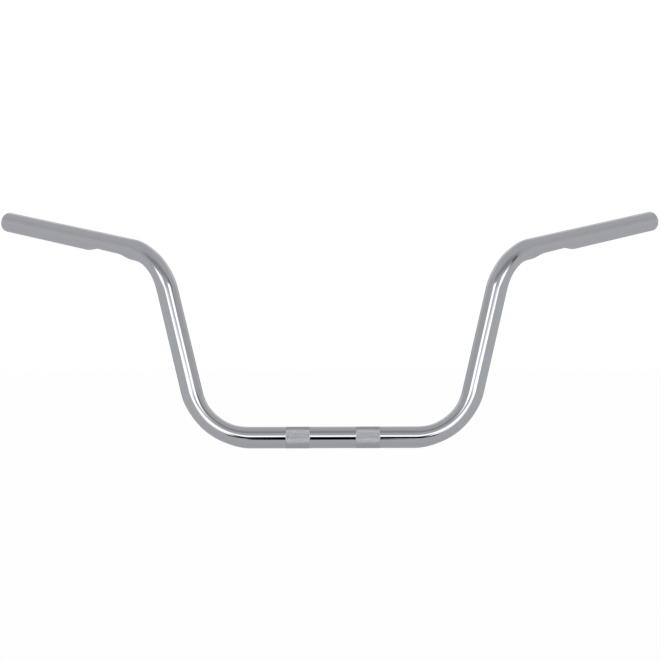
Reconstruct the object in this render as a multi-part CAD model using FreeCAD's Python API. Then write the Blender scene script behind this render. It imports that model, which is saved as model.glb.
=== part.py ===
import FreeCAD, Part
import math
import os

# A motorcycle handlebar: one round steel tube, bent four times.
# The origin is on the tube's axis, midway between the two knurled bands. +X runs along the clamped
# stretch towards the rider's left hand, +Y points back to the rider and +Z is up.
# The tube is cut where its shape changes, so every solid is one plain stretch of the tube and the
# stretches meet face to face. Lengths are in millimetres and angles in degrees.

# Tube
tube_diameter = 25.4
wall_thickness = 2.5

# Clamped stretch, measured along X from the middle
knurl_centre = 41.25
knurl_length = 28.5
knurl_height = 0.2
lower_corner = 153.5

# Risers. The lean turns the whole bar about the clamped stretch, top towards the rider.
riser_length = 229.0
riser_slope = 14.0
riser_lean = 12.0

# Grip ends, from the upper corner to the open end. Sweep and rise are counted before the lean.
grip_length = 288.0
grip_sweep = 37.0
grip_rise = 18.0
end_rounding = 0.8

# Bends. A bend flattens the tube in its own plane and widens it across.
lower_bend_radius = 73.0
upper_bend_radius = 76.5
lower_flattening = 0.09
upper_flattening = 0.145
widening_share = 0.4
flattening_run = 30.0
bend_stations = 13

# Dimple pressed into the underside for switch wires, measured from the end of the upper bend
dimple_start = 0.0
dimple_end = 83.5
dimple_start_depth = 4.1
dimple_end_depth = 6.6
dimple_start_ramp = 21.0
dimple_end_ramp = 26.0
dimple_half_angle = 74.0
dimple_stations = 18
section_end = 85.0

section_points = 32

outer_radius = tube_diameter / 2
bore_radius = outer_radius - wall_thickness


def leaned(x, y, z):
    """A direction given for an upright bar, turned back by the riser lean."""
    lean = math.radians(riser_lean)
    back = y * math.cos(lean) + z * math.sin(lean)
    up = z * math.cos(lean) - y * math.sin(lean)
    return FreeCAD.Vector(x, back, up)


def riser_direction():
    slope = math.radians(riser_slope)
    return leaned(math.sin(slope), 0, math.cos(slope))


def grip_direction():
    sweep = math.radians(grip_sweep)
    rise = math.radians(grip_rise)
    level = math.cos(rise)
    return leaned(level * math.cos(sweep), level * math.sin(sweep), math.sin(rise))


def smooth_step(t):
    """0 below 0, 1 above 1, with no corner in between."""
    t = min(max(t, 0.0), 1.0)
    return t * t * (3 - 2 * t)


def setback(direction_in, direction_out, radius):
    """How far before and after its corner a bend starts and ends."""
    return radius * math.tan(direction_in.getAngle(direction_out) / 2)


def closed_section(centre, first, second, radius_at):
    """A closed curve across the tube. Its angle starts at first and turns towards second."""
    points = []
    for step in range(section_points):
        angle = 2 * math.pi * step / section_points
        across = first * math.cos(angle) + second * math.sin(angle)
        points.append(centre + across * radius_at(angle))
    curve = Part.BSplineCurve()
    curve.interpolate(Points=points, PeriodicFlag=True)
    return Part.Wire([curve.toShape()])


def hollow_loft(outer_sections, inner_sections):
    outside = Part.makeLoft(outer_sections, True)
    inside = Part.makeLoft(inner_sections, True)
    return outside.cut(inside)


def straight_tube(start, direction, length):
    outside = Part.makeCylinder(outer_radius, length, start, direction)
    inside = Part.makeCylinder(bore_radius, length, start, direction)
    return outside.cut(inside)


def bent_tube(corner, direction_in, direction_out, bend_radius, flattening):
    """One bend, round at both ends and flattened along its middle."""
    turn = direction_in.getAngle(direction_out)
    start = corner - direction_in * setback(direction_in, direction_out, bend_radius)
    inward = direction_out - direction_in * direction_out.dot(direction_in)
    inward.normalize()
    centre = start + inward * bend_radius
    across = direction_in.cross(inward)
    outer_sections = []
    inner_sections = []
    for station in range(bend_stations):
        angle = turn * station / (bend_stations - 1)
        to_middle = inward * math.cos(angle) - direction_in * math.sin(angle)
        place = centre - to_middle * bend_radius
        nearest_end = bend_radius * min(angle, turn - angle)
        flat = flattening * smooth_step(nearest_end / flattening_run)

        def ellipse(tube_radius):
            narrow = tube_radius * (1 - flat)
            wide = tube_radius * (1 + widening_share * flat)
            return lambda a: narrow * wide / math.hypot(wide * math.cos(a), narrow * math.sin(a))

        outer_sections.append(closed_section(place, to_middle, across, ellipse(outer_radius)))
        inner_sections.append(closed_section(place, to_middle, across, ellipse(bore_radius)))
    return hollow_loft(outer_sections, inner_sections)


def dimple_depth(distance):
    """How far the bottom of the tube is pressed in, at a distance from the end of the upper bend."""
    along = (distance - dimple_start) / (dimple_end - dimple_start)
    floor = dimple_start_depth + (dimple_end_depth - dimple_start_depth) * min(max(along, 0.0), 1.0)
    rising = smooth_step((distance - dimple_start) / dimple_start_ramp)
    falling = smooth_step((dimple_end - distance) / dimple_end_ramp)
    return floor * rising * falling


def dimple_share(angle):
    """The share of the depth at an angle from straight down: 1 at the bottom, 0 past the lips."""
    from_bottom = min(angle, 2 * math.pi - angle)
    half_angle = math.radians(dimple_half_angle)
    if from_bottom >= half_angle:
        return 0.0
    return math.cos(math.pi / 2 * from_bottom / half_angle) ** 2


def dimpled_tube(start, direction):
    """The stretch after the upper bend, round at both ends and pressed in from below between them."""
    up = FreeCAD.Vector(0, 0, 1)
    down = direction * direction.z - up
    down.normalize()
    across = direction.cross(down)
    outer_sections = []
    inner_sections = []
    for station in range(dimple_stations):
        distance = section_end * station / (dimple_stations - 1)
        place = start + direction * distance
        depth = dimple_depth(distance)

        def pressed(tube_radius):
            return lambda a: tube_radius - depth * dimple_share(a)

        outer_sections.append(closed_section(place, down, across, pressed(outer_radius)))
        inner_sections.append(closed_section(place, down, across, pressed(bore_radius)))
    return hollow_loft(outer_sections, inner_sections)


def knurled_band():
    """A raised band with bevelled edges, turned about X."""
    low = knurl_centre - knurl_length / 2
    high = knurl_centre + knurl_length / 2
    crest = outer_radius + knurl_height
    profile = [
        (low, bore_radius),
        (low, outer_radius),
        (low + knurl_height, crest),
        (high - knurl_height, crest),
        (high, outer_radius),
        (high, bore_radius),
        (low, bore_radius),
    ]
    outline = Part.makePolygon([FreeCAD.Vector(x, 0, z) for x, z in profile])
    return Part.Face(outline).revolve(FreeCAD.Vector(0, 0, 0), FreeCAD.Vector(1, 0, 0), 360)


def grip_tube(start, direction, length):
    """The straight end that takes a grip, with its outer edge rounded at the open end."""
    tube = straight_tube(start, direction, length)
    end = start + direction * length

    def is_outer_end(edge):
        middle = edge.CenterOfMass
        return middle.distanceToPoint(end) < 1e-3 and edge.Length > 2 * math.pi * (bore_radius + 1)

    return tube.makeFillet(end_rounding, [edge for edge in tube.Edges if is_outer_end(edge)])


def one_side():
    """The stretches from the knurled band to the open end, on the rider's left."""
    along = FreeCAD.Vector(1, 0, 0)
    riser = riser_direction()
    grip = grip_direction()
    corner_1 = along * lower_corner
    corner_2 = corner_1 + riser * riser_length
    setback_1 = setback(along, riser, lower_bend_radius)
    setback_2 = setback(riser, grip, upper_bend_radius)
    band_end = knurl_centre + knurl_length / 2
    dimple_from = corner_2 + grip * setback_2
    grip_from = dimple_from + grip * section_end
    return {
        "knurled_band": knurled_band(),
        "clamp_run": straight_tube(along * band_end, along, lower_corner - setback_1 - band_end),
        "lower_bend": bent_tube(corner_1, along, riser, lower_bend_radius, lower_flattening),
        "riser": straight_tube(corner_1 + riser * setback_1, riser, riser_length - setback_1 - setback_2),
        "upper_bend": bent_tube(corner_2, riser, grip, upper_bend_radius, upper_flattening),
        "dimpled_run": dimpled_tube(dimple_from, grip),
        "grip_end": grip_tube(grip_from, grip, grip_length - setback_2 - section_end),
    }


def centre_run():
    """The plain stretch between the two knurled bands."""
    half_length = knurl_centre - knurl_length / 2
    return straight_tube(FreeCAD.Vector(-half_length, 0, 0), FreeCAD.Vector(1, 0, 0), 2 * half_length)


os.makedirs("parts", exist_ok=True)
centre_run().exportStep("parts/centre_run.step")
for name, shape in one_side().items():
    mirrored = shape.mirror(FreeCAD.Vector(0, 0, 0), FreeCAD.Vector(1, 0, 0))
    shape.exportStep(f"parts/left_{name}.step")
    mirrored.exportStep(f"parts/right_{name}.step")
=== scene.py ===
import math

import bpy
from mathutils import Euler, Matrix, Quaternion, Vector


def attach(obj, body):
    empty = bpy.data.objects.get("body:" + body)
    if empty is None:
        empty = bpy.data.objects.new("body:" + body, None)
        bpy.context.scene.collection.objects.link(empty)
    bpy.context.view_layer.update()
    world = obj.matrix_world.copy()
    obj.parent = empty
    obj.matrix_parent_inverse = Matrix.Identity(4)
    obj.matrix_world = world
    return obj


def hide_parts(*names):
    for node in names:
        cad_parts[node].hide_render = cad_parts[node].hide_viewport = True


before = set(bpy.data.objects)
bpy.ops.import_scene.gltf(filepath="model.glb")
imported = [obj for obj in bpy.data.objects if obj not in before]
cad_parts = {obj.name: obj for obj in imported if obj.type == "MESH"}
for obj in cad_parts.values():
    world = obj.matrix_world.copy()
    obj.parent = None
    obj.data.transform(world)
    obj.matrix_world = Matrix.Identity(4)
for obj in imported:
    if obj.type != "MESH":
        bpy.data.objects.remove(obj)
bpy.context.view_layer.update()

# Metres and radians, in the part's own frame: the origin is in the middle of the clamped stretch,
# +X points to the rider's left, +Y back to the rider and +Z up.
MM = 0.001

# Tube. Its radius is a hair under 12.7 mm, so that the mesh stays inside the CAD solids' box.
TUBE_RADIUS = 12.69 * MM
BORE_RADIUS = 10.2 * MM
KNURL_CENTRE = 41.25 * MM
KNURL_LENGTH = 28.5 * MM
LOWER_CORNER = 153.5 * MM
RISER_LENGTH = 229.0 * MM
RISER_SLOPE = math.radians(14.0)
RISER_LEAN = math.radians(12.0)
GRIP_LENGTH = 288.0 * MM
GRIP_SWEEP = math.radians(37.0)
GRIP_RISE = math.radians(18.0)
END_ROUNDING = 0.8 * MM
END_ROUNDING_STEP = math.radians(15.0)
LOWER_BEND_RADIUS = 73.0 * MM
UPPER_BEND_RADIUS = 76.5 * MM
LOWER_FLATTENING = 0.09
UPPER_FLATTENING = 0.145
WIDENING_SHARE = 0.4
FLATTENING_RUN = 30.0 * MM

# Dimple for switch wires, measured from the end of the upper bend
DIMPLE_START = 0.0 * MM
DIMPLE_END = 83.5 * MM
DIMPLE_START_DEPTH = 4.1 * MM
DIMPLE_END_DEPTH = 6.6 * MM
DIMPLE_START_RAMP = 21.0 * MM
DIMPLE_END_RAMP = 26.0 * MM
DIMPLE_HALF_ANGLE = math.radians(74.0)

# Knurl: two sets of grooves that cross, cut into a band that stands slightly proud
KNURL_CREST = 0.2 * MM
KNURL_DEPTH = 0.4 * MM
KNURL_STARTS = 54
KNURL_HELIX = math.radians(30.0)
KNURL_BEVEL = 0.7 * MM

# Mesh density, and the angle between two faces from which their shared edge looks sharp
AROUND = 120
KNURL_AROUND = 432
STRAIGHT_STEP = 8.0 * MM
BEND_STEP = 2.0 * MM
DIMPLE_STEP = 1.5 * MM
KNURL_STEP = 0.25 * MM
SHARP_ANGLE = math.radians(40.0)

# Chrome: its tint, its roughness and how much the buffing haze adds to the roughness
POLISHED_TINT = (0.775, 0.80, 0.85)
POLISHED_ROUGHNESS = 0.04
POLISHED_HAZE = 0.03
KNURLED_TINT = (0.72, 0.74, 0.785)
KNURLED_ROUGHNESS = 0.24
KNURLED_HAZE = 0.08
HAZE_SCALE = 60
HAZE_DETAIL = 3

# Camera, at the photograph's viewing angle
CAMERA_PLACE = Vector((-0.0198, -1.7523, 0.1348))
CAMERA_PITCH = math.radians(-0.26)
CAMERA_YAW = math.radians(0.55)
CAMERA_ROLL = math.radians(-0.13)
CAMERA_LENS = 80.99
SENSOR_WIDTH = 36.0
CAMERA_REACH = 100.0

# Floor and backdrop. The glow keeps both pale.
FLOOR_DROP = 0.30
FLOOR_SIZE = 30.0
FLOOR_COLOUR = 0.3
FLOOR_GLOW = 0.85
BACKDROP_RADIUS = 12.0
BACKDROP_COLOUR = 0.0
BACKDROP_GLOW = 1.0
MATTE_ROUGHNESS = 0.9

# Studio that the chrome mirrors. A brightness of 0 is black and 1 is white.
FLOOR_GREY = 0.4
WALL_GREY = 0.45
CEILING_GREY = 0.4
ROOM_GREYS = [(-90, FLOOR_GREY), (0, WALL_GREY), (90, CEILING_GREY)]
WHITE_BOX = 1.2
BRIGHT_BOX = 1.5
REAR_BOX = 0.6
DIM_PANEL = 0.4
DARK_PANEL = 0.25
POST_GREY = 0.1
BLACK = 0.0
BOTH_SIDES = (-1, 1)


def leaned(x, y, z):
    """A direction given for an upright bar, turned back by the riser lean."""
    back = y * math.cos(RISER_LEAN) + z * math.sin(RISER_LEAN)
    up = z * math.cos(RISER_LEAN) - y * math.sin(RISER_LEAN)
    return Vector((x, back, up))


def smooth_step(t):
    t = min(max(t, 0.0), 1.0)
    return t * t * (3 - 2 * t)


def steps(length, step):
    """Distances from 0 to length, evenly spaced and at most one step apart."""
    count = max(1, math.ceil(length / step))
    return [length * i / count for i in range(count + 1)]


class Station:
    """One ring of the tube: where it is, which way the tube runs and how its radius changes."""

    def __init__(self, place, along, inward=None, flat=0.0, dimple=0.0, inset=0.0):
        self.place = place
        self.along = along
        self.inward = inward
        self.flat = flat
        self.dimple = dimple
        self.inset = inset

    def radius(self, outward, plain_radius):
        """The tube's radius towards outward, a unit vector across the tube."""
        radius = plain_radius - self.inset
        if self.flat:
            narrow = radius * (1 - self.flat)
            wide = radius * (1 + WIDENING_SHARE * self.flat)
            towards = outward.dot(self.inward)
            radius = narrow * wide / math.hypot(wide * towards, narrow * math.sqrt(max(0, 1 - towards**2)))
        if self.dimple:
            down = self.along * self.along.z - Vector((0, 0, 1))
            down.normalize()
            angle = math.acos(min(1.0, max(-1.0, outward.dot(down))))
            if angle < DIMPLE_HALF_ANGLE:
                radius -= self.dimple * math.cos(math.pi / 2 * angle / DIMPLE_HALF_ANGLE) ** 2
        return radius


def straight(start, along, length):
    return [Station(start + along * d, along) for d in steps(length, STRAIGHT_STEP)]


def setback(direction_in, direction_out, radius):
    return radius * math.tan(direction_in.angle(direction_out) / 2)


def bend(corner, direction_in, direction_out, bend_radius, flattening):
    """The rings of one bend, round at both ends and flattened along its middle."""
    turn = direction_in.angle(direction_out)
    start = corner - direction_in * setback(direction_in, direction_out, bend_radius)
    inward = (direction_out - direction_in * direction_out.dot(direction_in)).normalized()
    centre = start + inward * bend_radius
    rings = []
    for distance in steps(turn * bend_radius, BEND_STEP):
        angle = distance / bend_radius
        to_middle = inward * math.cos(angle) - direction_in * math.sin(angle)
        along = direction_in * math.cos(angle) + inward * math.sin(angle)
        nearest_end = min(distance, turn * bend_radius - distance)
        flat = flattening * smooth_step(nearest_end / FLATTENING_RUN)
        rings.append(Station(centre - to_middle * bend_radius, along, to_middle, flat))
    return rings


def dimple_depth(distance):
    along = (distance - DIMPLE_START) / (DIMPLE_END - DIMPLE_START)
    floor = DIMPLE_START_DEPTH + (DIMPLE_END_DEPTH - DIMPLE_START_DEPTH) * min(max(along, 0.0), 1.0)
    rising = smooth_step((distance - DIMPLE_START) / DIMPLE_START_RAMP)
    falling = smooth_step((DIMPLE_END - distance) / DIMPLE_END_RAMP)
    return floor * rising * falling


def grip_end(start, along, length):
    """The straight end with its dimple and the rounded outer edge of the open end."""
    rings = []
    for distance in steps(DIMPLE_END, DIMPLE_STEP):
        rings.append(Station(start + along * distance, along, dimple=dimple_depth(distance)))
    plain_from = DIMPLE_END + DIMPLE_STEP
    plain_length = length - END_ROUNDING - plain_from
    rings += straight(start + along * plain_from, along, plain_length)
    for angle in steps(math.pi / 2, END_ROUNDING_STEP)[1:]:
        distance = length - END_ROUNDING * (1 - math.sin(angle))
        inset = END_ROUNDING * (1 - math.cos(angle))
        rings.append(Station(start + along * distance, along, inset=inset))
    return rings


def side_rings():
    """All the rings from the knurled band to the open end, on the rider's left."""
    along = Vector((1, 0, 0))
    riser = leaned(math.sin(RISER_SLOPE), 0, math.cos(RISER_SLOPE))
    level = math.cos(GRIP_RISE)
    grip = leaned(level * math.cos(GRIP_SWEEP), level * math.sin(GRIP_SWEEP), math.sin(GRIP_RISE))
    corner_1 = along * LOWER_CORNER
    corner_2 = corner_1 + riser * RISER_LENGTH
    setback_1 = setback(along, riser, LOWER_BEND_RADIUS)
    setback_2 = setback(riser, grip, UPPER_BEND_RADIUS)
    band_end = KNURL_CENTRE + KNURL_LENGTH / 2
    rings = straight(along * band_end, along, LOWER_CORNER - setback_1 - band_end)
    rings += bend(corner_1, along, riser, LOWER_BEND_RADIUS, LOWER_FLATTENING)[1:]
    rings += straight(corner_1 + riser * setback_1, riser, RISER_LENGTH - setback_1 - setback_2)[1:]
    rings += bend(corner_2, riser, grip, UPPER_BEND_RADIUS, UPPER_FLATTENING)[1:]
    rings += grip_end(corner_2 + grip * setback_2, grip, GRIP_LENGTH - setback_2)[1:]
    return rings


def ring_mesh(name, outer, inner, mirrored=False):
    """A closed hollow mesh from rings of points: along the outside, then back through the bore."""
    loops = outer + inner[::-1]
    count = len(outer[0])
    flip = -1 if mirrored else 1
    points = [(flip * p.x, p.y, p.z) for loop in loops for p in loop]
    faces = []
    for i in range(len(loops)):
        near = i * count
        far = (i + 1) % len(loops) * count
        for k in range(count):
            nxt = (k + 1) % count
            face = (near + k, near + nxt, far + nxt, far + k)
            faces.append(face if mirrored else face[::-1])
    mesh = bpy.data.meshes.new(name)
    mesh.from_pydata(points, [], faces)
    mesh.validate()
    mesh.shade_smooth()
    mesh.set_sharp_from_angle(angle=SHARP_ANGLE)
    piece = bpy.data.objects.new(name, mesh)
    bpy.context.collection.objects.link(piece)
    return piece


def tube_mesh(name, rings, mirrored=False):
    """The tube through these rings. Each ring's first point is carried on from the last ring's."""
    first = Vector((0, 0, 1))
    before = Vector((1, 0, 0))
    outer = []
    inner = []
    for ring in rings:
        first.rotate(before.rotation_difference(ring.along))
        before = ring.along
        outer_loop = []
        inner_loop = []
        for k in range(AROUND):
            outward = first.copy()
            outward.rotate(Quaternion(ring.along, -2 * math.pi * k / AROUND))
            outer_loop.append(ring.place + outward * ring.radius(outward, TUBE_RADIUS))
            bore = BORE_RADIUS + ring.inset
            inner_loop.append(ring.place + outward * ring.radius(outward, bore))
        outer.append(outer_loop)
        inner.append(inner_loop)
    return ring_mesh(name, outer, inner, mirrored)


def groove(turns):
    """The depth of one set of grooves: 0 on a crest and 1 at a bottom, repeating every turn."""
    return abs(2 * (turns % 1.0) - 1)


def knurl_radius(angle, distance):
    """The band's radius at an angle round it and a distance from its middle."""
    pitch = 2 * math.pi * TUBE_RADIUS / KNURL_STARTS
    lead = distance * math.tan(KNURL_HELIX) / pitch
    start = KNURL_STARTS * angle / (2 * math.pi)
    cut = max(groove(start + lead), groove(start - lead))
    inside = (KNURL_LENGTH / 2 - abs(distance)) / KNURL_BEVEL
    fade = smooth_step(inside)
    return TUBE_RADIUS + fade * (KNURL_CREST - KNURL_DEPTH * cut)


def knurl_mesh(name, mirrored=False):
    outer = []
    inner = []
    for d in steps(KNURL_LENGTH, KNURL_STEP):
        outer_loop = []
        inner_loop = []
        for k in range(KNURL_AROUND):
            angle = 2 * math.pi * k / KNURL_AROUND
            outward = Vector((0, math.sin(angle), math.cos(angle)))
            place = Vector((KNURL_CENTRE - KNURL_LENGTH / 2 + d, 0, 0))
            outer_loop.append(place + outward * knurl_radius(angle, d - KNURL_LENGTH / 2))
            inner_loop.append(place + outward * BORE_RADIUS)
        outer.append(outer_loop)
        inner.append(inner_loop)
    return ring_mesh(name, outer, inner[:1] + inner[-1:], mirrored)


def chrome(name, tint, roughness, added_by_haze):
    """Polished chrome plate: a mirror with faint buffing haze that varies over a few centimetres."""
    material = bpy.data.materials.new(name)
    material.use_nodes = True
    nodes = material.node_tree.nodes
    links = material.node_tree.links
    shader = nodes["Principled BSDF"]
    shader.inputs["Metallic"].default_value = 1.0
    shader.inputs["Base Color"].default_value = (*tint, 1)
    place = nodes.new("ShaderNodeTexCoord")
    haze = nodes.new("ShaderNodeTexNoise")
    haze.inputs["Scale"].default_value = HAZE_SCALE
    haze.inputs["Detail"].default_value = HAZE_DETAIL
    spread = nodes.new("ShaderNodeMapRange")
    spread.inputs["To Min"].default_value = roughness
    spread.inputs["To Max"].default_value = roughness + added_by_haze
    links.new(place.outputs["Object"], haze.inputs["Vector"])
    links.new(haze.outputs["Fac"], spread.inputs["Value"])
    links.new(spread.outputs["Result"], shader.inputs["Roughness"])
    return material


def make_bar(polished, knurled):
    rings = side_rings()
    centre_half = KNURL_CENTRE - KNURL_LENGTH / 2
    middle_rings = straight(Vector((-centre_half, 0, 0)), Vector((1, 0, 0)), 2 * centre_half)
    middle = tube_mesh("bar_middle", middle_rings)
    middle.data.materials.append(polished)
    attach(middle, "root")
    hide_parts("centre_run")
    runs = ["clamp_run", "lower_bend", "riser", "upper_bend", "dimpled_run", "grip_end"]
    for side, mirrored in (("left", False), ("right", True)):
        bar = tube_mesh(f"bar_{side}", rings, mirrored)
        bar.data.materials.append(polished)
        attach(bar, "root")
        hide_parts(*[f"{side}_{run}" for run in runs])
        band = knurl_mesh(f"knurl_{side}", mirrored)
        band.data.materials.append(knurled)
        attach(band, "root")
        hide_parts(f"{side}_knurled_band")


def plain(name, colour, glow):
    """A matte surface that also gives light."""
    material = bpy.data.materials.new(name)
    material.use_nodes = True
    shader = material.node_tree.nodes["Principled BSDF"]
    shader.inputs["Base Color"].default_value = (colour, colour, colour, 1)
    shader.inputs["Roughness"].default_value = MATTE_ROUGHNESS
    shader.inputs["Specular IOR Level"].default_value = 0
    shader.inputs["Emission Color"].default_value = (1, 1, 1, 1)
    shader.inputs["Emission Strength"].default_value = glow
    return material


def make_floor():
    """A pale floor, with a pale dome round everything that only the camera sees."""
    bpy.ops.mesh.primitive_plane_add(size=FLOOR_SIZE, location=(0, 0, -FLOOR_DROP))
    floor = bpy.context.object
    floor.name = "floor"
    floor.data.materials.append(plain("floor", FLOOR_COLOUR, FLOOR_GLOW))
    floor.visible_glossy = False
    bpy.ops.mesh.primitive_uv_sphere_add(segments=64, ring_count=32, radius=BACKDROP_RADIUS)
    dome = bpy.context.object
    dome.name = "backdrop"
    dome.data.materials.append(plain("backdrop", BACKDROP_COLOUR, BACKDROP_GLOW))
    dome.visible_glossy = False
    dome.visible_diffuse = False
    dome.visible_shadow = False


def from_bearing(bearing, height):
    """The direction at a bearing round the bar: 0 is in front of it and +90 is its +X side."""
    b = math.radians(bearing)
    h = math.radians(height)
    return Vector((math.cos(h) * math.sin(b), -math.cos(h) * math.cos(b), math.sin(h)))


def maths(tree, operation, *values):
    """One maths node on numbers or other nodes' outputs."""
    node = tree.nodes.new("ShaderNodeMath")
    node.operation = operation
    for slot, value in enumerate(values):
        if isinstance(value, bpy.types.NodeSocket):
            tree.links.new(value, node.inputs[slot])
        else:
            node.inputs[slot].default_value = value
    return node.outputs["Value"]


def share_along(tree, looking, towards):
    """How far the ray direction points towards a fixed direction, from -1 to 1."""
    node = tree.nodes.new("ShaderNodeVectorMath")
    node.operation = "DOT_PRODUCT"
    node.inputs[1].default_value = towards
    tree.links.new(looking, node.inputs[0])
    return node.outputs["Value"]


def soft_edge(tree, value, outside, inside):
    """0 up to outside and 1 from inside on, with a smooth change between them."""
    node = tree.nodes.new("ShaderNodeMapRange")
    node.interpolation_type = "SMOOTHSTEP"
    node.inputs["From Min"].default_value = outside
    node.inputs["From Max"].default_value = inside
    tree.links.new(value, node.inputs["Value"])
    return node.outputs["Result"]


def bare_room(tree, looking):
    """The room's own grey, from straight down to straight up."""
    height = tree.nodes.new("ShaderNodeSeparateXYZ")
    tree.links.new(looking, height.inputs["Vector"])
    angle = maths(tree, "ARCSINE", height.outputs["Z"])
    share = maths(tree, "MULTIPLY_ADD", angle, 1 / math.pi, 0.5)
    ramp = tree.nodes.new("ShaderNodeValToRGB")
    elements = ramp.color_ramp.elements
    while len(elements) < len(ROOM_GREYS):
        elements.new(0.5)
    for element, (degrees, grey) in zip(elements, ROOM_GREYS):
        element.position = degrees / 180 + 0.5
        element.color = (grey, grey, grey, 1)
    tree.links.new(share, ramp.inputs["Fac"])
    return ramp.outputs["Color"]


class Studio:
    """The surroundings that the chrome mirrors: a grey room with panels painted over one another."""

    def __init__(self, tree):
        self.tree = tree
        self.looking = tree.nodes.new("ShaderNodeTexCoord").outputs["Generated"]
        self.room = bare_room(tree, self.looking)

    def paint(self, place, half_size, softness, brightness, turn=0.0):
        """Paints one soft-edged panel.

        Its place is a bearing and a height, and half_size is half its width and half its height. These,
        the softness of its edge and its turn are in degrees.
        """
        tree = self.tree
        centre = from_bearing(*place)
        b = math.radians(place[0])
        side = Vector((math.cos(b), math.sin(b), 0))
        up = centre.cross(side)
        t = math.radians(turn)
        width_axis = side * math.cos(t) + up * math.sin(t)
        height_axis = up * math.cos(t) - side * math.sin(t)
        depth = share_along(tree, self.looking, centre)
        across = maths(tree, "ARCTAN2", share_along(tree, self.looking, width_axis), depth)
        upwards = maths(tree, "ARCTAN2", share_along(tree, self.looking, height_axis), depth)
        wide = math.radians(half_size[0])
        high = math.radians(half_size[1])
        soft = math.radians(softness) / 2
        in_width = soft_edge(tree, maths(tree, "ABSOLUTE", across), wide + soft, wide - soft)
        in_height = soft_edge(tree, maths(tree, "ABSOLUTE", upwards), high + soft, high - soft)
        mix = tree.nodes.new("ShaderNodeMix")
        mix.inputs["B"].default_value = brightness
        tree.links.new(maths(tree, "MULTIPLY", in_width, in_height), mix.inputs["Factor"])
        tree.links.new(self.room, mix.inputs["A"])
        self.room = mix.outputs["Result"]


def paint_behind(studio):
    """Behind the bar: a long grey box with a dark doorway under it."""
    studio.paint((180, 30), (45, 12), softness=10, brightness=REAR_BOX)
    studio.paint((180, 0), (35, 10), softness=10, brightness=DARK_PANEL)


def paint_in_front(studio):
    """A white box round the camera, a bright strip over it and a bright box on each side."""
    studio.paint((0, 10), (25, 15), softness=10, brightness=WHITE_BOX)
    studio.paint((0, 20), (25, 3), softness=2, brightness=BRIGHT_BOX)
    for side in BOTH_SIDES:
        studio.paint((side * 30, 30), (10, 10), softness=8, brightness=BRIGHT_BOX)


def paint_camera_stand(studio):
    """The black camera stand: its head, its column and its two spread legs."""
    studio.paint((0, 1), (6, 9), softness=3, brightness=BLACK)
    studio.paint((0, -5), (3, 15), softness=2, brightness=BLACK)
    for side in BOTH_SIDES:
        studio.paint((side * 10, -10), (3, 10), softness=3, brightness=BLACK, turn=side * 45)


def paint_dark_room(studio):
    """The dark ceiling over the boxes, a dim panel on each side and a dark post on the +X side."""
    studio.paint((0, 65), (35, 12), softness=25, brightness=DARK_PANEL)
    for side in BOTH_SIDES:
        studio.paint((side * 85, 35), (30, 12), softness=8, brightness=DIM_PANEL)
    studio.paint((55, 42), (5, 10), softness=6, brightness=POST_GREY, turn=25)


def make_surroundings():
    world = bpy.data.worlds.new("studio")
    bpy.context.scene.world = world
    world.use_nodes = True
    tree = world.node_tree
    studio = Studio(tree)
    paint_behind(studio)
    paint_in_front(studio)
    paint_camera_stand(studio)
    paint_dark_room(studio)
    tree.links.new(studio.room, tree.nodes["Background"].inputs["Color"])


def make_camera():
    camera = bpy.data.objects.new("camera", bpy.data.cameras.new("camera"))
    camera.data.lens = CAMERA_LENS
    camera.data.sensor_width = SENSOR_WIDTH
    camera.data.clip_end = CAMERA_REACH
    camera.location = CAMERA_PLACE
    facing = Euler((math.pi / 2 + CAMERA_PITCH, 0, -CAMERA_YAW)).to_quaternion()
    facing.rotate(Quaternion(facing @ Vector((0, 0, 1)), CAMERA_ROLL))
    camera.rotation_euler = facing.to_euler()
    bpy.context.collection.objects.link(camera)
    bpy.context.scene.camera = camera


polished = chrome("polished_chrome", POLISHED_TINT, POLISHED_ROUGHNESS, POLISHED_HAZE)
knurled = chrome("knurled_chrome", KNURLED_TINT, KNURLED_ROUGHNESS, KNURLED_HAZE)
make_bar(polished, knurled)
make_floor()
make_surroundings()
make_camera()
bpy.context.scene.view_settings.view_transform = "Standard"
